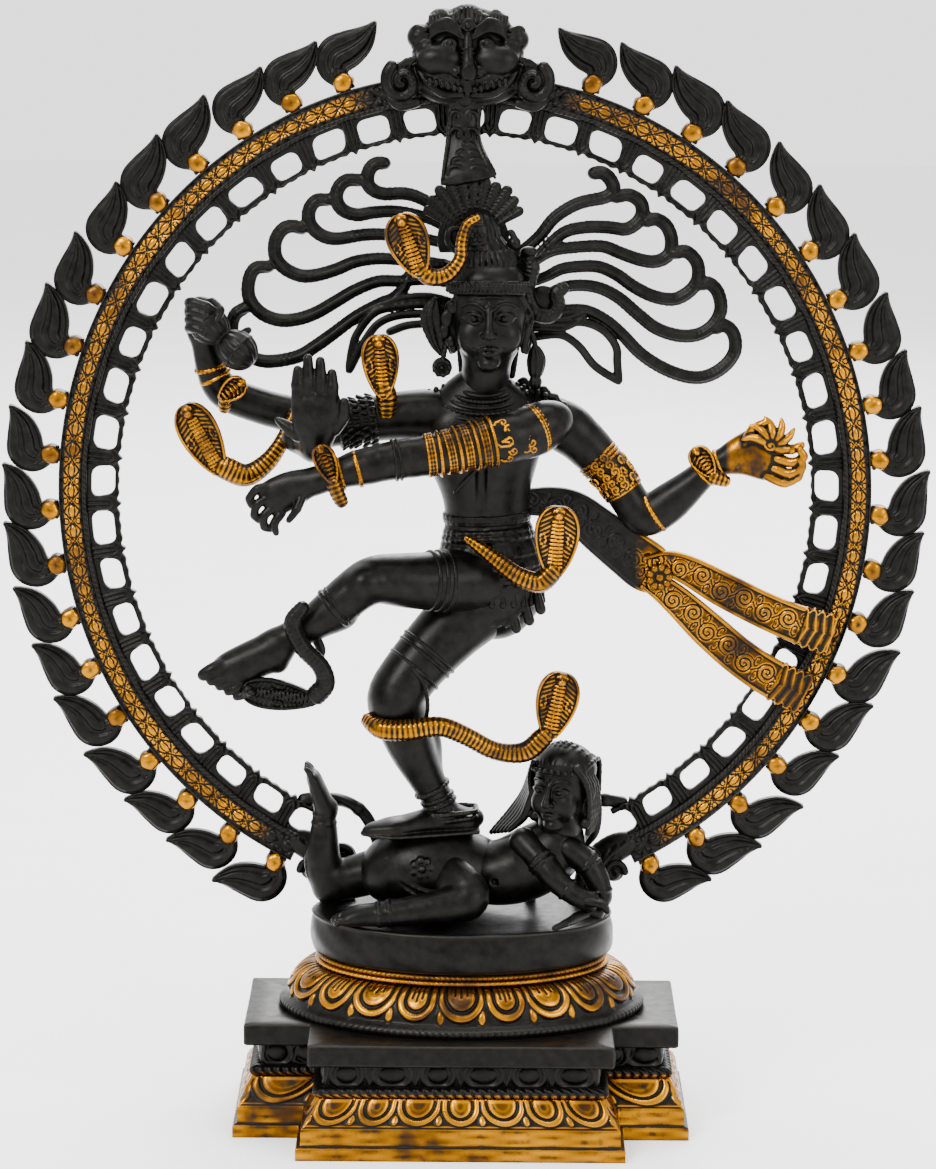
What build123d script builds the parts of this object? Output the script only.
"""Dancing Nataraja statue: a built-up assembly of brass castings on a lotus pedestal inside a ring of flames.

Frame: +Z up, the viewer stands on the -Y side, +X is the viewer's right. The origin is the middle of the
pedestal's footprint on the shelf. Millimetres.
"""

from build123d import *
import os
from math import atan2, cos, degrees, radians, sin

# ---------------------------------------------------------------- driving dimensions
WALL = 5.0  # cast wall of the hollow pedestal pieces
GAP = 0.15  # room left for braze where two castings meet
STRAP_GAP = 0.6  # a strap stands this far off the limb inside it

# pedestal: a square block crossed by a longer, narrower bar (half sizes)
BLOCK = 101.0
WING_X, WING_Y = 142.0, 58.0
FASCIA_TOP, STEP_TOP, SLOPE_TOP = 8.0, 20.0, 36.0
STEP_INSET, SLOPE_INSET = 3.0, 14.0
ROPE_TOP, ROPE_INSET = 43.0, 11.0
BAND_TOP, BAND_INSET = 57.0, 17.0
CAP_TOP, CAP_INSET = 71.0, 7.0

# oval lotus, collar and seat: (height, half width, half depth)
LOTUS = [(71, 114, 81), (75, 114, 81), (78, 110, 78), (90, 106.5, 74.5), (98, 99, 68), (102, 92, 62)]
COLLAR = (102.0, 106.0, 91.5, 61.5)  # bottom, top, half width, half depth
SEAT = [(106, 90, 61), (112, 93.5, 63.5), (122, 96, 65.5), (132, 95, 64.5)]
SEAT_TOP = 132.0

# tie bolts that hold seat, lotus and cap together
BOLT_X, BOLT_R = 55.0, 4.0
WASHER_R, WASHER_T, NUT_R, NUT_T = 10.0, 1.6, 7.5, 6.4
BOLT_BOTTOM, BOLT_TOP = 54.0, 122.0

# ring of flames: an upright oval, open at the bottom
RING_A, RING_B = 244.0, 252.0
RING_Y, RING_Z = 22.0, 393.0
RING_HALF, RING_T = 9.0, 10.0  # half width and thickness of the band
RING_END = 154.5  # degrees from the top to each end of the band
LATTICE_IN, LATTICE_T = 30.0, 6.0
CELLS, CELL_STEP, CELL_FIRST = 20, 7.35, 11.0
CELL_W, CELL_H, CELL_OFF = 19.0, 13.5, -19.0
FLAMES, FLAME_FIRST, FLAME_STEP, FLAME_T = 19, 17.1, 7.53, 8.0
STUD_OFF, STUD_R, STUD_T = 14.3, 6.6, 15.0
FOOT_X, TENON_R, TENON_L = 79.0, 4.0, 12.0

ring_plane = Plane((0, RING_Y, RING_Z), x_dir=(1, 0, 0), z_dir=(0, -1, 0))
made = {}
forms = {}


def keep(builder, label):
    """Names the finished piece and remembers it for writing."""
    builder.part.label = label
    made[label] = builder
    return builder


def cross(inset):
    """The pedestal's plan, drawn smaller all round by inset."""
    Rectangle(2 * (BLOCK - inset), 2 * (BLOCK - inset))
    Rectangle(2 * (WING_X - inset), 2 * (WING_Y - inset))


def cross_prism(inset, low, high, mode=Mode.ADD, taper=0.0):
    """Adds or removes a prism of the pedestal's plan in the part being built."""
    with BuildSketch(Plane.XY.offset(low)) as plan:
        cross(inset)
    extrude(plan.sketch, amount=high - low, taper=taper, mode=mode)


def oval_stack(levels, inset=0.0, mode=Mode.ADD):
    """A lofted oval body through (height, half width, half depth) levels."""
    sections = []
    for z, a, b in levels:
        with BuildSketch(Plane.XY.offset(z)) as level:
            Ellipse(a - inset, b - inset)
        sections.append(level.sketch)
    loft(sections, mode=mode)


def bolt_holes(low, high, radius):
    """Cuts the two tie-bolt holes between two heights."""
    with Locations((-BOLT_X, 0, low), (BOLT_X, 0, low)):
        Cylinder(radius, high - low, align=(Align.CENTER, Align.CENTER, Align.MIN), mode=Mode.SUBTRACT)


def section_plane(points, i):
    """The plane of a limb's section at one point of its path, its x across the path and level."""
    last = len(points) - 1
    along = (points[min(i + 1, last)] - points[max(i - 1, 0)]).normalized()
    deep = Vector(0, 1, 0) if abs(along.Y) < 0.8 else Vector(0, 0, 1)
    return Plane(points[i], x_dir=along.cross(deep), z_dir=along)


def limb(label, stations, cut=(), also=()):
    """One casting through oval sections (x, y, z, half across, half deep), cut where it meets others.

    A hand or a foot that turns off the limb's line is a second run of sections in also."""
    forms[label] = stations
    with BuildPart() as part:
        for run in (stations, *also):
            points = [Vector(*station[:3]) for station in run]
            sections = []
            for i, station in enumerate(run):
                with BuildSketch(section_plane(points, i)) as section:
                    Ellipse(*station[3:])
                sections.append(section.sketch)
            loft(sections, ruled=True)
        for other in cut:
            add(made[other].part, mode=Mode.SUBTRACT)
        # a cut can leave a crumb beside the piece, which goes
        add(part.solids().sort_by(SortBy.VOLUME)[-1], mode=Mode.REPLACE)
    return keep(part, label)


def group(label, parts):
    """Several finished solids of one kind that share a node."""
    with BuildPart() as together:
        for part in parts:
            add(made.pop(part).part)
    return keep(together, label)


def bar(points, radius, bends):
    """A round bar along straight runs joined by arcs, in the part being built."""
    with BuildLine() as path:
        FilletPolyline(*points, radius=bends)
    with BuildSketch(Plane(path.line @ 0, z_dir=path.line % 0)) as section:
        Circle(radius)
    sweep(section.sketch, path=path.line)


def on_ring(angle, offset):
    """Local (x, z) on the ring at an angle from the top towards the left, outwards by offset."""
    return (-(RING_A + offset) * sin(radians(angle)), (RING_B + offset) * cos(radians(angle)))


def ring_strip(inner, outer, front, back):
    """An open oval strip between two offsets from the band's middle, between two depths."""
    x, z = on_ring(RING_END, 0)
    with BuildSketch(ring_plane.offset(-back)) as strip:
        Ellipse(RING_A + outer, RING_B + outer)
        Ellipse(RING_A + inner, RING_B + inner, mode=Mode.SUBTRACT)
        Polygon((0, 0), (2 * x, 2 * z), (-2 * x, 2 * z), align=None, mode=Mode.SUBTRACT)
    extrude(strip.sketch, amount=front + back)


# ---------------------------------------------------------------- pedestal
def build_pedestal():
    with BuildPart() as foot:
        cross_prism(0, 0, FASCIA_TOP)
        cross_prism(STEP_INSET, FASCIA_TOP, STEP_TOP)
        batter = degrees(atan2(SLOPE_INSET - STEP_INSET, SLOPE_TOP - STEP_TOP))
        cross_prism(STEP_INSET, STEP_TOP, SLOPE_TOP, taper=batter)
        cross_prism(SLOPE_INSET + 3 * WALL, 0, SLOPE_TOP, Mode.SUBTRACT)
        cross_prism(STEP_INSET + WALL, 0, STEP_TOP - WALL, Mode.SUBTRACT)
    keep(foot, "plinth_foot")

    with BuildPart() as band:
        cross_prism(BAND_INSET, SLOPE_TOP, BAND_TOP)
        cross_prism(BAND_INSET + WALL, SLOPE_TOP, BAND_TOP, Mode.SUBTRACT)
        middle = (ROPE_TOP + BAND_TOP) / 2
        for side in (-1, 1):
            face_y = side * (BLOCK - BAND_INSET)
            with Locations(*[Pos(x, face_y, middle) * Rot(90, 0, 0) for x in (-66, -33, 0, 33, 66)]):
                Cylinder(5.5, 3)
    keep(band, "plinth_band")

    with BuildPart() as rope:
        cross_prism(ROPE_INSET, SLOPE_TOP, ROPE_TOP)
        fillet(rope.edges().group_by(Axis.Z)[0] + rope.edges().group_by(Axis.Z)[-1], 3)
        cross_prism(BAND_INSET, SLOPE_TOP, ROPE_TOP, Mode.SUBTRACT)
    keep(rope, "plinth_rope")

    with BuildPart() as cap:
        cross_prism(CAP_INSET, BAND_TOP, CAP_TOP)
        chamfer(cap.edges().group_by(Axis.Z)[-1], 1)
        cross_prism(CAP_INSET + 3 * WALL, BAND_TOP, CAP_TOP - WALL, Mode.SUBTRACT)
        bolt_holes(BAND_TOP, CAP_TOP, BOLT_R + 0.5)
    keep(cap, "plinth_cap")

    with BuildPart() as lotus:
        oval_stack(LOTUS)
        oval_stack([(z, a, b) for z, a, b in LOTUS if z < LOTUS[-1][0] - WALL], 2 * WALL, Mode.SUBTRACT)
        bolt_holes(LOTUS[0][0], LOTUS[-1][0], BOLT_R + 0.5)
    keep(lotus, "lotus_drum")

    low, high, half_a, half_b = COLLAR
    with BuildPart() as collar:
        with BuildSketch(Plane.XY.offset(low)):
            Ellipse(half_a, half_b)
        extrude(amount=high - low)
        fillet(collar.edges(), 1.2)
        bolt_holes(low, high, BOLT_R + 0.5)
    keep(collar, "bead_collar")

    with BuildPart() as seat:
        oval_stack(SEAT)
        bolt_holes(SEAT[0][0], BOLT_TOP, BOLT_R)
        with Locations((-FOOT_X, RING_Y, SEAT_TOP), (FOOT_X, RING_Y, SEAT_TOP)):
            Hole(TENON_R + GAP / 2, TENON_L)
    keep(seat, "oval_seat")

    bolt_sites = [(-BOLT_X, 0), (BOLT_X, 0)]
    with BuildPart() as bolts:
        with BuildSketch(Plane.XY.offset(BOLT_BOTTOM)):
            with Locations(*bolt_sites):
                Circle(BOLT_R)
        extrude(amount=BOLT_TOP - BOLT_BOTTOM)
    keep(bolts, "tie_bolts")
    under_cap = CAP_TOP - WALL
    with BuildPart() as washers:
        with BuildSketch(Plane.XY.offset(under_cap - WASHER_T)):
            with Locations(*bolt_sites):
                Circle(WASHER_R)
                Circle(BOLT_R + 0.5, mode=Mode.SUBTRACT)
        extrude(amount=WASHER_T)
    keep(washers, "tie_washers")
    with BuildPart() as nuts:
        with BuildSketch(Plane.XY.offset(under_cap - WASHER_T - NUT_T)):
            with Locations(*bolt_sites):
                RegularPolygon(NUT_R, 6)
                Circle(BOLT_R, mode=Mode.SUBTRACT)
        extrude(amount=NUT_T)
    keep(nuts, "tie_nuts")


# ---------------------------------------------------------------- dwarf on the seat
def build_dwarf():
    limb("dwarf_hips", [(-46, 0, 156, 20, 24), (-30, 0, 160, 26, 30), (-12, 0, 160, 27, 31),
                        (4, 0, 157, 23, 27), (16, -2, 155, 19, 22)], ["oval_seat"])
    limb("dwarf_chest", [(14, -2, 155, 19, 22), (28, -6, 157, 20, 22), (42, -8, 164, 21, 22),
                         (56, -10, 174, 20, 22), (64, -12, 184, 11, 14)], ["dwarf_hips", "oval_seat"])
    limb("dwarf_head", [(58, -16, 180, 9, 10), (61, -18, 192, 11, 12), (63, -19, 202, 18, 17),
                        (64, -18, 214, 20, 19), (65, -16, 228, 18, 18), (66, -14, 238, 10, 10)],
         ["dwarf_chest"])
    limb("dwarf_raised_leg", [(-36, 6, 158, 16, 17), (-58, 4, 154, 13, 14), (-76, 2, 150, 12, 12),
                              (-86, 0, 152, 11, 12), (-88, 0, 166, 10, 11), (-88, 0, 182, 7.5, 8),
                              (-88, 0, 194, 6, 7), (-89, -1, 204, 7.5, 9), (-92, -1, 214, 5, 9),
                              (-95, -1, 224, 3, 7)], ["dwarf_hips", "oval_seat"])
    limb("dwarf_folded_leg", [(-8, -26, 158, 15, 9), (2, -36, 154, 14, 10), (2, -42, 147, 12, 8),
                              (-14, -44, 144, 10, 8), (-38, -45, 142, 8, 8), (-56, -46, 141, 7, 7),
                              (-76, -46, 138, 4.5, 8)], ["dwarf_hips", "dwarf_chest", "oval_seat"])
    limb("dwarf_near_arm", [(40, -22, 180, 9, 9), (50, -30, 170, 8, 8), (62, -37, 158, 7, 7),
                            (74, -40, 150, 6, 6), (86, -38, 146, 7, 6)], ["dwarf_chest", "oval_seat"])
    limb("dwarf_far_arm", [(66, -24, 176, 8, 8), (78, -24, 168, 7.5, 8), (84, -26, 158, 7, 7),
                           (88, -28, 146, 7, 6)],
         ["dwarf_chest", "dwarf_near_arm", "dwarf_head", "oval_seat"])
    group("dwarf_arms", ["dwarf_near_arm", "dwarf_far_arm"])


# ---------------------------------------------------------------- dancer
def build_dancer():
    limb("torso", [(19, 0, 324, 22, 18), (18, 0, 336, 31, 22), (16, 0, 350, 32, 23), (15, 0, 364, 28, 20),
                   (14, 0, 380, 24.5, 17), (13, -1, 400, 26, 18), (11, -2, 424, 34, 22),
                   (10, -2, 442, 38, 20), (10, -3, 456, 26, 15), (11, -4, 464, 15, 13)])
    limb("head", [(11, -4, 464.2, 14, 13), (12, -8, 474, 16, 15), (13, -11, 484, 21, 21),
                  (14, -12, 500, 24.5, 25), (14, -11, 518, 25, 25), (14, -8, 534, 21, 21),
                  (13, -6, 542, 14, 14)], ["torso"])
    limb("crown", [(13, -6, 542.2, 16, 15), (11, -5, 550, 17, 15), (9, -3, 562, 14, 13),
                   (7, 2, 576, 15, 11), (5, 8, 592, 14, 8), (2, 14, 606, 11, 6)], ["head"])
    reach, half_angle = 38, 60
    with BuildPart() as fan:
        with BuildSketch(Plane((8, 10, 552), x_dir=(1, 0, 0), z_dir=(0, -1, 0))):
            with BuildLine():
                CenterArc((0, 0), reach, 90 - half_angle, 2 * half_angle)
                side_x, side_z = reach * sin(radians(half_angle)), reach * cos(radians(half_angle))
                Polyline((-side_x, side_z), (-8, -2), (8, -2), (side_x, side_z))
            make_face()
        extrude(amount=5)
        add(made["crown"].part, mode=Mode.SUBTRACT)
    keep(fan, "crown_feathers")

    # four arms
    limb("crossing_arm", [(56, -16, 444, 9, 9), (50, -18, 443, 14, 13), (40, -24, 440, 15, 13),
                          (20, -34, 436, 14, 11), (-14, -42, 429, 12, 11), (-50, -47, 424, 11, 10),
                          (-80, -50, 416, 8, 8), (-100, -50, 411, 9, 7), (-118, -50, 405, 5, 5)],
         ["torso"])
    limb("blessing_arm", [(-16, -2, 446, 16, 16), (-40, -4, 446, 14, 14), (-70, -8, 442, 12, 12),
                          (-94, -12, 436, 10, 11), (-106, -20, 434, 8.5, 10)], ["torso", "crossing_arm"],
         [[(-98, -14, 431, 9, 8), (-92, -40, 430, 8, 8), (-90, -46, 440, 12, 6), (-89, -48, 458, 14, 5.5),
           (-91, -48, 476, 11, 5), (-93, -47, 487, 6, 4)]])
    limb("drum_arm", [(-28, 8, 442, 10, 9), (-60, 12, 440, 10, 9), (-104, 10, 444, 10, 10),
                      (-134, 8, 452, 9.5, 10), (-150, 7, 460, 9, 9), (-157, 5, 474, 8, 8),
                      (-161, 3, 490, 7, 7), (-164, 1, 504, 9, 8), (-158, 0, 514, 7, 8)],
         ["torso", "blessing_arm"])
    axis_plane = Plane((-148, -8, 494), x_dir=(0.2, 0.97, -0.07), z_dir=(0.62, -0.07, 0.77))
    with BuildPart() as drum:
        with BuildSketch(axis_plane):
            Polygon((0, -13), (11, -13), (5, 0), (11, 13), (0, 13), align=None)
        revolve(axis=Axis(axis_plane.origin, axis_plane.y_dir))
        add(made["drum_arm"].part, mode=Mode.SUBTRACT)
    keep(drum, "hand_drum")
    limb("flame_arm", [(38, 8, 450, 12, 10), (58, 8, 440, 14, 12), (74, 6, 428, 13, 12), (92, 4, 408, 12, 11),
                       (104, 3, 390, 11, 11), (112, 2, 383, 12, 11), (126, 1, 392, 11.5, 10),
                       (142, 0, 406, 9, 8.5), (152, -2, 416, 7, 7), (166, -3, 421, 9, 6),
                       (180, -4, 424, 15, 6), (194, -4, 428, 20, 6), (202, -4, 430, 14, 5)],
         ["torso", "crossing_arm"])

    # two legs
    limb("standing_leg", [(14, -2, 334, 24, 19), (-2, -8, 320, 21, 18), (-20, -14, 302, 18, 17),
                          (-34, -19, 286, 17, 17), (-42, -22, 272, 17, 17), (-38, -19, 258, 15, 16),
                          (-32, -15, 240, 13, 15), (-24, -12, 222, 10.5, 12), (-16, -9, 206, 9.5, 10),
                          (-12, -8, 194, 9, 10)], ["torso", "dwarf_hips"],
         [[(2, -7, 190, 6, 8), (-4, -8, 194, 7.5, 9.5), (-14, -10, 195, 7.5, 10), (-30, -14, 192, 5.5, 11),
           (-46, -18, 190, 4, 10), (-55, -20, 189, 3, 7)]])
    limb("raised_leg", [(12, -10, 346, 20, 18), (-8, -20, 346, 18, 18), (-34, -30, 348, 15.5, 17),
                        (-54, -37, 350, 13, 15), (-66, -40, 344, 12, 13), (-80, -41, 332, 12, 12),
                        (-94, -42, 322, 10, 11), (-108, -43, 314, 9, 9), (-118, -44, 308, 12, 11),
                        (-134, -45, 300, 14, 12), (-148, -46, 293, 12, 12), (-160, -47, 288, 8, 10)],
         ["torso", "standing_leg"])


# ---------------------------------------------------------------- dress and jewellery
def strap(label, limb_label, first, last, thick=2.0, cut=()):
    """A strap wrapped round a limb between two places counted in the limb's stations."""
    stations = forms[limb_label]
    points = [Vector(*station[:3]) for station in stations]
    places = [first] + [k for k in range(len(stations)) if first < k < last] + [last]
    with BuildPart() as part:
        for grow, mode in ((STRAP_GAP + thick, Mode.ADD), (STRAP_GAP, Mode.SUBTRACT)):
            sections = []
            for place in places:
                low = min(int(place), len(stations) - 2)
                share = place - low
                ends = [section_plane(points, low), section_plane(points, low + 1)]
                along = ends[0].z_dir * (1 - share) + ends[1].z_dir * share
                across = ends[0].x_dir * (1 - share) + ends[1].x_dir * share
                middle = points[low] * (1 - share) + points[low + 1] * share
                half = [(1 - share) * u + share * v for u, v in zip(stations[low][3:], stations[low + 1][3:])]
                with BuildSketch(Plane(middle, x_dir=across, z_dir=along)) as section:
                    Ellipse(half[0] + grow, half[1] + grow)
                sections.append(section.sketch)
            loft(sections, ruled=True, mode=mode)
        for other in cut:
            add(made[other].part, mode=Mode.SUBTRACT)
    return keep(part, label)


def build_dress():
    strap("waist_cord", "torso", 3.4, 3.9, 3.0, ["flame_arm"])
    strap("jewelled_belt", "torso", 1.8, 2.7, 2.4, ["standing_leg", "raised_leg"])
    strap("necklace", "torso", 8.1, 8.9, 3.0, ["head", "crossing_arm", "blessing_arm", "drum_arm", "flame_arm"])
    strap("crossing_armlet", "crossing_arm", 3.3, 4.2, 1.8, ["torso"])
    strap("flame_armlet", "flame_arm", 2.6, 3.4, 1.8)
    strap("blessing_armlet", "blessing_arm", 1.6, 2.4, 1.8, ["drum_arm", "torso"])
    strap("thigh_band", "raised_leg", 1.1, 1.6, 1.8, ["torso", "standing_leg", "jewelled_belt"])
    strap("shin_garter", "raised_leg", 4.3, 5.1, 1.8)
    strap("anklet", "standing_leg", 7.6, 8.3, 1.8, ["standing_leg"])
    group("armlets", ["crossing_armlet", "flame_armlet", "blessing_armlet"])
    group("leg_bands", ["thigh_band", "shin_garter", "anklet"])
    for side, x in (("left", -14.5), ("right", 42.5)):
        with BuildPart() as ring:
            with Locations((x, -8, 483)):
                Sphere(6)
            with Locations((x, -8, 472)):
                Sphere(4.5)
            with Locations((x, -8, 477.5)):
                Cylinder(2, 6)
            for other in ("head", "necklace", "torso"):
                add(made[other].part, mode=Mode.SUBTRACT)
        keep(ring, f"ear_drop_{side}")
    group("ear_drops", ["ear_drop_left", "ear_drop_right"])


def build_sash():
    """A stiff streamer from the waist that forks into two tails lying on the ring."""
    ring = ["ring_band", "ring_lattice"]
    limb("sash_root", [(38, 4, 388, 9, 5), (54, 8, 390, 10, 5), (68, 9, 386, 11, 4.5), (84, 9, 372, 13, 4.5),
                       (102, 10, 358, 14, 4), (122, 10, 346, 15, 4)], ["torso", "waist_cord", "flame_arm"])
    limb("sash_tail_upper", [(121, 10, 349, 6, 4), (140, 10, 347, 9, 4), (160, 9, 337, 11, 4),
                             (184, 8, 323, 12, 3.5), (206, 6.5, 314, 12, 3.5), (226, 6, 307, 11, 3.5)],
         ["sash_root", *ring])
    limb("sash_tail_lower", [(121, 10, 341, 7, 4), (136, 10, 328, 9, 4), (152, 9, 311, 11, 4),
                             (172, 8, 294, 11, 3.5), (192, 6.5, 281, 12, 3.5), (211, 6, 272, 11, 3.5)],
         ["sash_root", "sash_tail_upper", *ring])


# ---------------------------------------------------------------- hair
def lock(points, radius, bend):
    """One flying lock of hair as a bent bar, at the hair's own depth."""
    bar([(x, HAIR_Y, z) for x, z in points], radius, bend)


HAIR_Y = 14.0
LEFT_LOCKS = [
    [(-2, 562), (-22, 574), (-52, 572), (-61, 584), (-50, 589)],
    [(-4, 556), (-40, 561), (-70, 561), (-80, 572), (-70, 581)],
    [(-6, 549), (-50, 547), (-84, 543), (-98, 560), (-84, 570)],
    [(-8, 541), (-54, 533), (-98, 520), (-117, 536), (-110, 555)],
    [(-8, 531), (-62, 516), (-108, 495), (-136, 512), (-122, 534)],
    [(-8, 520), (-58, 498), (-104, 471), (-138, 470), (-142, 482)],
]
RIGHT_LOCKS = [
    [(22, 556), (48, 572), (72, 578), (88, 584), (84, 594)],
    [(24, 550), (52, 561), (92, 553), (106, 567), (96, 576)],
    [(26, 543), (62, 551), (106, 535), (126, 549), (114, 561)],
    [(28, 534), (70, 539), (116, 510), (141, 528), (130, 542)],
    [(30, 525), (74, 527), (124, 484), (155, 503), (146, 521)],
    [(30, 513), (72, 514), (128, 456), (168, 474), (158, 495)],
]


def build_hair():
    for side, locks, tail in (("left", LEFT_LOCKS, [(-6, 508), (-44, 500), (-70, 488), (-72, 468)]),
                              ("right", RIGHT_LOCKS, [(30, 500), (66, 500), (92, 486), (95, 462)])):
        with BuildPart() as hair:
            for points in locks:
                lock(points, 3.6, 6)
            lock(tail, 3.4, 8)
            for other in ("head", "crown", "crown_feathers", "torso", "blessing_arm", "drum_arm", "hand_drum",
                          "flame_arm"):
                add(made[other].part, mode=Mode.SUBTRACT)
        keep(hair, f"hair_locks_{side}")


# ---------------------------------------------------------------- cobras
def build_cobras():
    """Hooded cobras wound on the limbs: a tapering body that flattens into the hood."""
    cobras = {
        "cobra_crown": ([(4, -26, 568, 2, 2), (-2, -27, 562, 2.4, 2.4), (-4, -29, 550, 3, 3),
                         (-10, -32, 538, 4, 3.5), (-22, -34, 532, 6, 3.5), (-33, -35, 546, 11, 3),
                         (-40, -35, 560, 6, 2.5)], ["head", "crown", "hair_locks_left"]),
        "cobra_shoulder": ([(-48, -20, 456, 4, 3), (-49, -22, 464, 7, 3), (-51, -22, 476, 10, 3),
                            (-53, -20, 490, 7, 3), (-54, -19, 496, 3, 2)],
                           ["blessing_arm", "torso", "hair_locks_left", "head"]),
        "cobra_elbow": ([(-108, -8, 446, 3, 3), (-112, -14, 432, 4, 4), (-122, -18, 418, 5, 4.5),
                         (-138, -20, 410, 7, 5), (-154, -20, 418, 13, 5), (-166, -18, 438, 16, 5),
                         (-165, -14, 452, 9, 5)],
                        ["blessing_arm", "drum_arm"]),
        "cobra_drum_wrist": ([(-146, -4, 452, 3, 3), (-142, -8, 459, 6, 2.5), (-134, -10, 466, 5, 2.5)],
                             ["drum_arm", "hand_drum", "cobra_elbow"]),
        "cobra_crossing_wrist": ([(-75, -58, 404, 4, 3), (-78, -61, 412, 4, 3), (-82, -62, 422, 6, 2.5),
                                  (-86, -60, 433, 6, 2.5), (-87, -58, 438, 3, 2)],
                                 ["crossing_arm", "blessing_arm"]),
        "cobra_flame_wrist": ([(156, -12, 410, 3, 3), (150, -13, 412, 5, 3), (144, -13, 420, 8, 3),
                               (138, -11, 429, 5, 2.5)], ["flame_arm"]),
        "cobra_waist": ([(4, -32, 372, 2.5, 2.5), (14, -34, 366, 4, 4), (28, -35, 356, 5, 5),
                         (42, -36, 349, 6, 5), (54, -36, 354, 9, 4), (60, -36, 370, 15, 4),
                         (54, -34, 386, 11, 3.5), (48, -32, 396, 4, 3)],
                        ["torso", "jewelled_belt", "waist_cord", "raised_leg", "standing_leg"]),
        "cobra_knee": ([(-50, -40, 256, 6, 5), (-34, -42, 256, 6.5, 6), (-14, -40, 260, 6, 6),
                        (2, -36, 252, 5.5, 5.5), (20, -32, 241, 5, 5), (38, -30, 240, 6, 5),
                        (50, -29, 252, 12, 5), (60, -28, 272, 16, 4.5), (62, -27, 284, 10, 4)],
                       ["standing_leg", "dwarf_head"]),
        "cobra_raised_leg": ([(-96, -55, 330, 4, 4), (-99, -56, 322, 6, 5), (-95, -57, 310, 6, 5),
                              (-86, -56, 298, 6, 5), (-86, -55, 286, 7, 6), (-100, -54, 278, 9, 6),
                              (-120, -53, 281, 9, 5), (-134, -52, 287, 5, 4)], ["raised_leg"]),
        "serpent_hair": ([(38, -8, 536, 4, 3), (44, 2, 526, 5, 4), (44, 2, 512, 6, 4), (52, 2, 504, 5, 4),
                          (58, 2, 514, 4, 3)], ["head", "hair_locks_right"]),
    }
    for label, (stations, others) in cobras.items():
        limb(label, stations, others)
    group("cobra_bracelets", ["cobra_drum_wrist", "cobra_crossing_wrist", "cobra_flame_wrist"])


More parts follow.
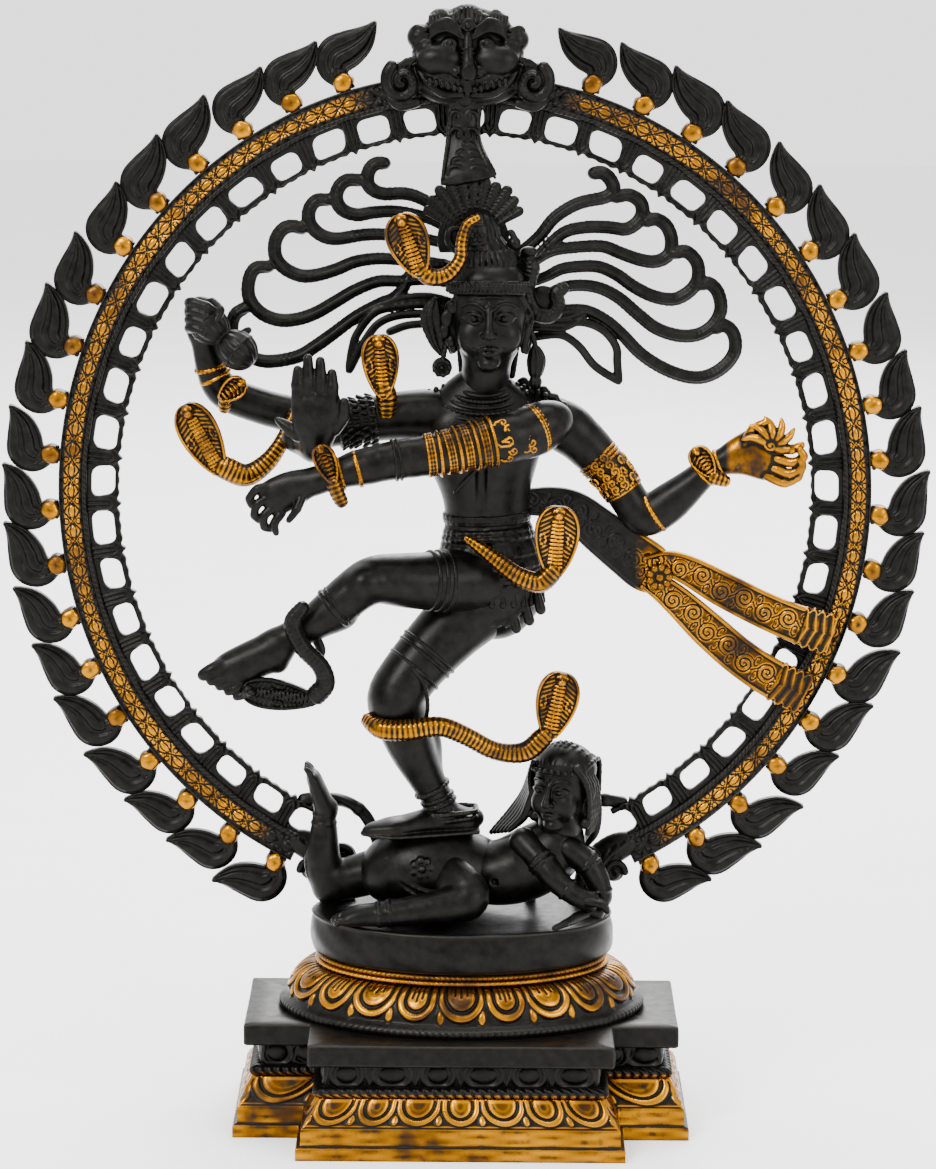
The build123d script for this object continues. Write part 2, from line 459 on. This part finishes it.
# ---------------------------------------------------------------- ring of flames
def build_ring():
    with BuildPart() as band:
        ring_strip(-RING_HALF, RING_HALF, RING_T / 2, RING_T / 2)
    keep(band, "ring_band")

    with BuildPart() as lattice:
        ring_strip(-LATTICE_IN, -RING_HALF, LATTICE_T / 2, LATTICE_T / 2)
        with BuildSketch(ring_plane.offset(-LATTICE_T)):
            for side in (-1, 1):
                for i in range(CELLS):
                    angle = side * (CELL_FIRST + (i - 0.5) * CELL_STEP)
                    with Locations(Location(on_ring(angle, CELL_OFF), angle)):
                        RectangleRounded(CELL_W, CELL_H, 4)
        extrude(amount=2 * LATTICE_T, mode=Mode.SUBTRACT)
    keep(lattice, "ring_lattice")

    with BuildPart() as studs_left:
        with BuildSketch(ring_plane.offset(-STUD_T / 2)):
            for i in range(FLAMES):
                with Locations(on_ring(FLAME_FIRST + i * FLAME_STEP, STUD_OFF)):
                    Circle(STUD_R)
        extrude(amount=STUD_T)
        fillet(studs_left.faces().filter_by(Axis.Y).sort_by(Axis.Y).group_by(Axis.Y)[0].edges(), 2.5)
        add(band.part, mode=Mode.SUBTRACT)
    with BuildPart() as studs_right:
        mirror(studs_left.part, about=Plane.YZ)
    keep(studs_left, "flame_studs_left")
    keep(studs_right, "flame_studs_right")

    # each flame is a comma-shaped leaf that leans towards the top of the ring
    with BuildSketch() as leaf:
        with BuildLine():
            ThreePointArc((-4, 4), (-12, 15), (-5, 26))
            ThreePointArc((-5, 26), (4, 29.5), (13, 29.5))
            ThreePointArc((13, 29.5), (18, 30.5), (22, 33))
            ThreePointArc((22, 33), (19, 22), (12, 12))
            ThreePointArc((12, 12), (9, 7), (4, 4))
            Line((4, 4), (-4, 4))
        make_face()
    with BuildPart() as flames_left:
        with BuildSketch(ring_plane.offset(-FLAME_T / 2)):
            for i in range(FLAMES):
                angle = FLAME_FIRST + i * FLAME_STEP
                with Locations(Location(on_ring(angle, STUD_OFF), angle)):
                    add(leaf.sketch)
        extrude(amount=FLAME_T)
        add(band.part, mode=Mode.SUBTRACT)
        add(studs_left.part, mode=Mode.SUBTRACT)
    with BuildPart() as flames_right:
        mirror(flames_left.part, about=Plane.YZ)
    keep(flames_left, "flames_left")
    keep(flames_right, "flames_right")
    group("flame_studs", ["flame_studs_left", "flame_studs_right"])

    # lion mask over the top of the ring, with its hanging tongue
    with BuildPart() as mask:
        with BuildSketch(ring_plane.offset(-6)):
            with Locations((0, 270)):
                RectangleRounded(70, 60, 14)
            with Locations((0, 293)):
                Ellipse(13, 11)
            with Locations((-44, 252), (44, 252)):
                Ellipse(11, 18)
        extrude(amount=22)
        fillet(mask.faces().sort_by(Axis.Y)[0].edges(), 5)
        add(band.part, mode=Mode.SUBTRACT)
        add(lattice.part, mode=Mode.SUBTRACT)
    keep(mask, "lion_mask")
    crown = made["crown"]
    with BuildPart() as tongue:
        with BuildSketch(ring_plane):
            with Locations((0, 229)):
                Rectangle(22, 32)
        extrude(amount=12)
        for other in (band, lattice, mask, crown):
            add(other.part, mode=Mode.SUBTRACT)
    keep(tongue, "lion_tongue")


def build_ring_feet():
    """Scrolled feet under the ring's ends, tenoned into the seat, and the arched stays inside them."""
    for side, sign in (("left", -1), ("right", 1)):
        with BuildPart() as foot:
            with BuildSketch(ring_plane.offset(-5)):
                corners = [(112, 158), (100, 176), (70, 156), (70, SEAT_TOP), (87, SEAT_TOP), (92, 142)]
                Polygon(*[(sign * x, z - RING_Z) for x, z in corners], align=None)
            extrude(amount=10)
            with Locations((sign * FOOT_X, RING_Y, SEAT_TOP)):
                Cylinder(TENON_R, TENON_L, align=(Align.CENTER, Align.CENTER, Align.MAX))
            for other in ("ring_band", "ring_lattice", f"flames_{side}", "flame_studs", "dwarf_arms",
                          "dwarf_raised_leg", "dwarf_hips", "dwarf_chest"):
                add(made[other].part, mode=Mode.SUBTRACT)
        keep(foot, f"ring_foot_{side}")
        with BuildPart() as stay:
            bar([(sign * x, RING_Y + 2, z) for x, z in ((99, 196), (84, 196), (60, 184), (44, SEAT_TOP))],
                3.2, 8)
            for other in ("ring_band", "ring_lattice", f"ring_foot_{side}", "oval_seat", "dwarf_hips",
                          "dwarf_chest", "dwarf_raised_leg", "dwarf_head", "dwarf_arms"):
                add(made[other].part, mode=Mode.SUBTRACT)
        keep(stay, f"ring_stay_{side}")


def main():
    build_pedestal()
    build_dwarf()
    build_dancer()
    build_ring()
    build_dress()
    build_hair()
    build_sash()
    build_cobras()
    build_ring_feet()
    os.makedirs("parts", exist_ok=True)
    for label, builder in made.items():
        export_step(builder.part, f"parts/{label}.step")
        print(label, len(builder.part.solids()), round(builder.part.volume))


main()
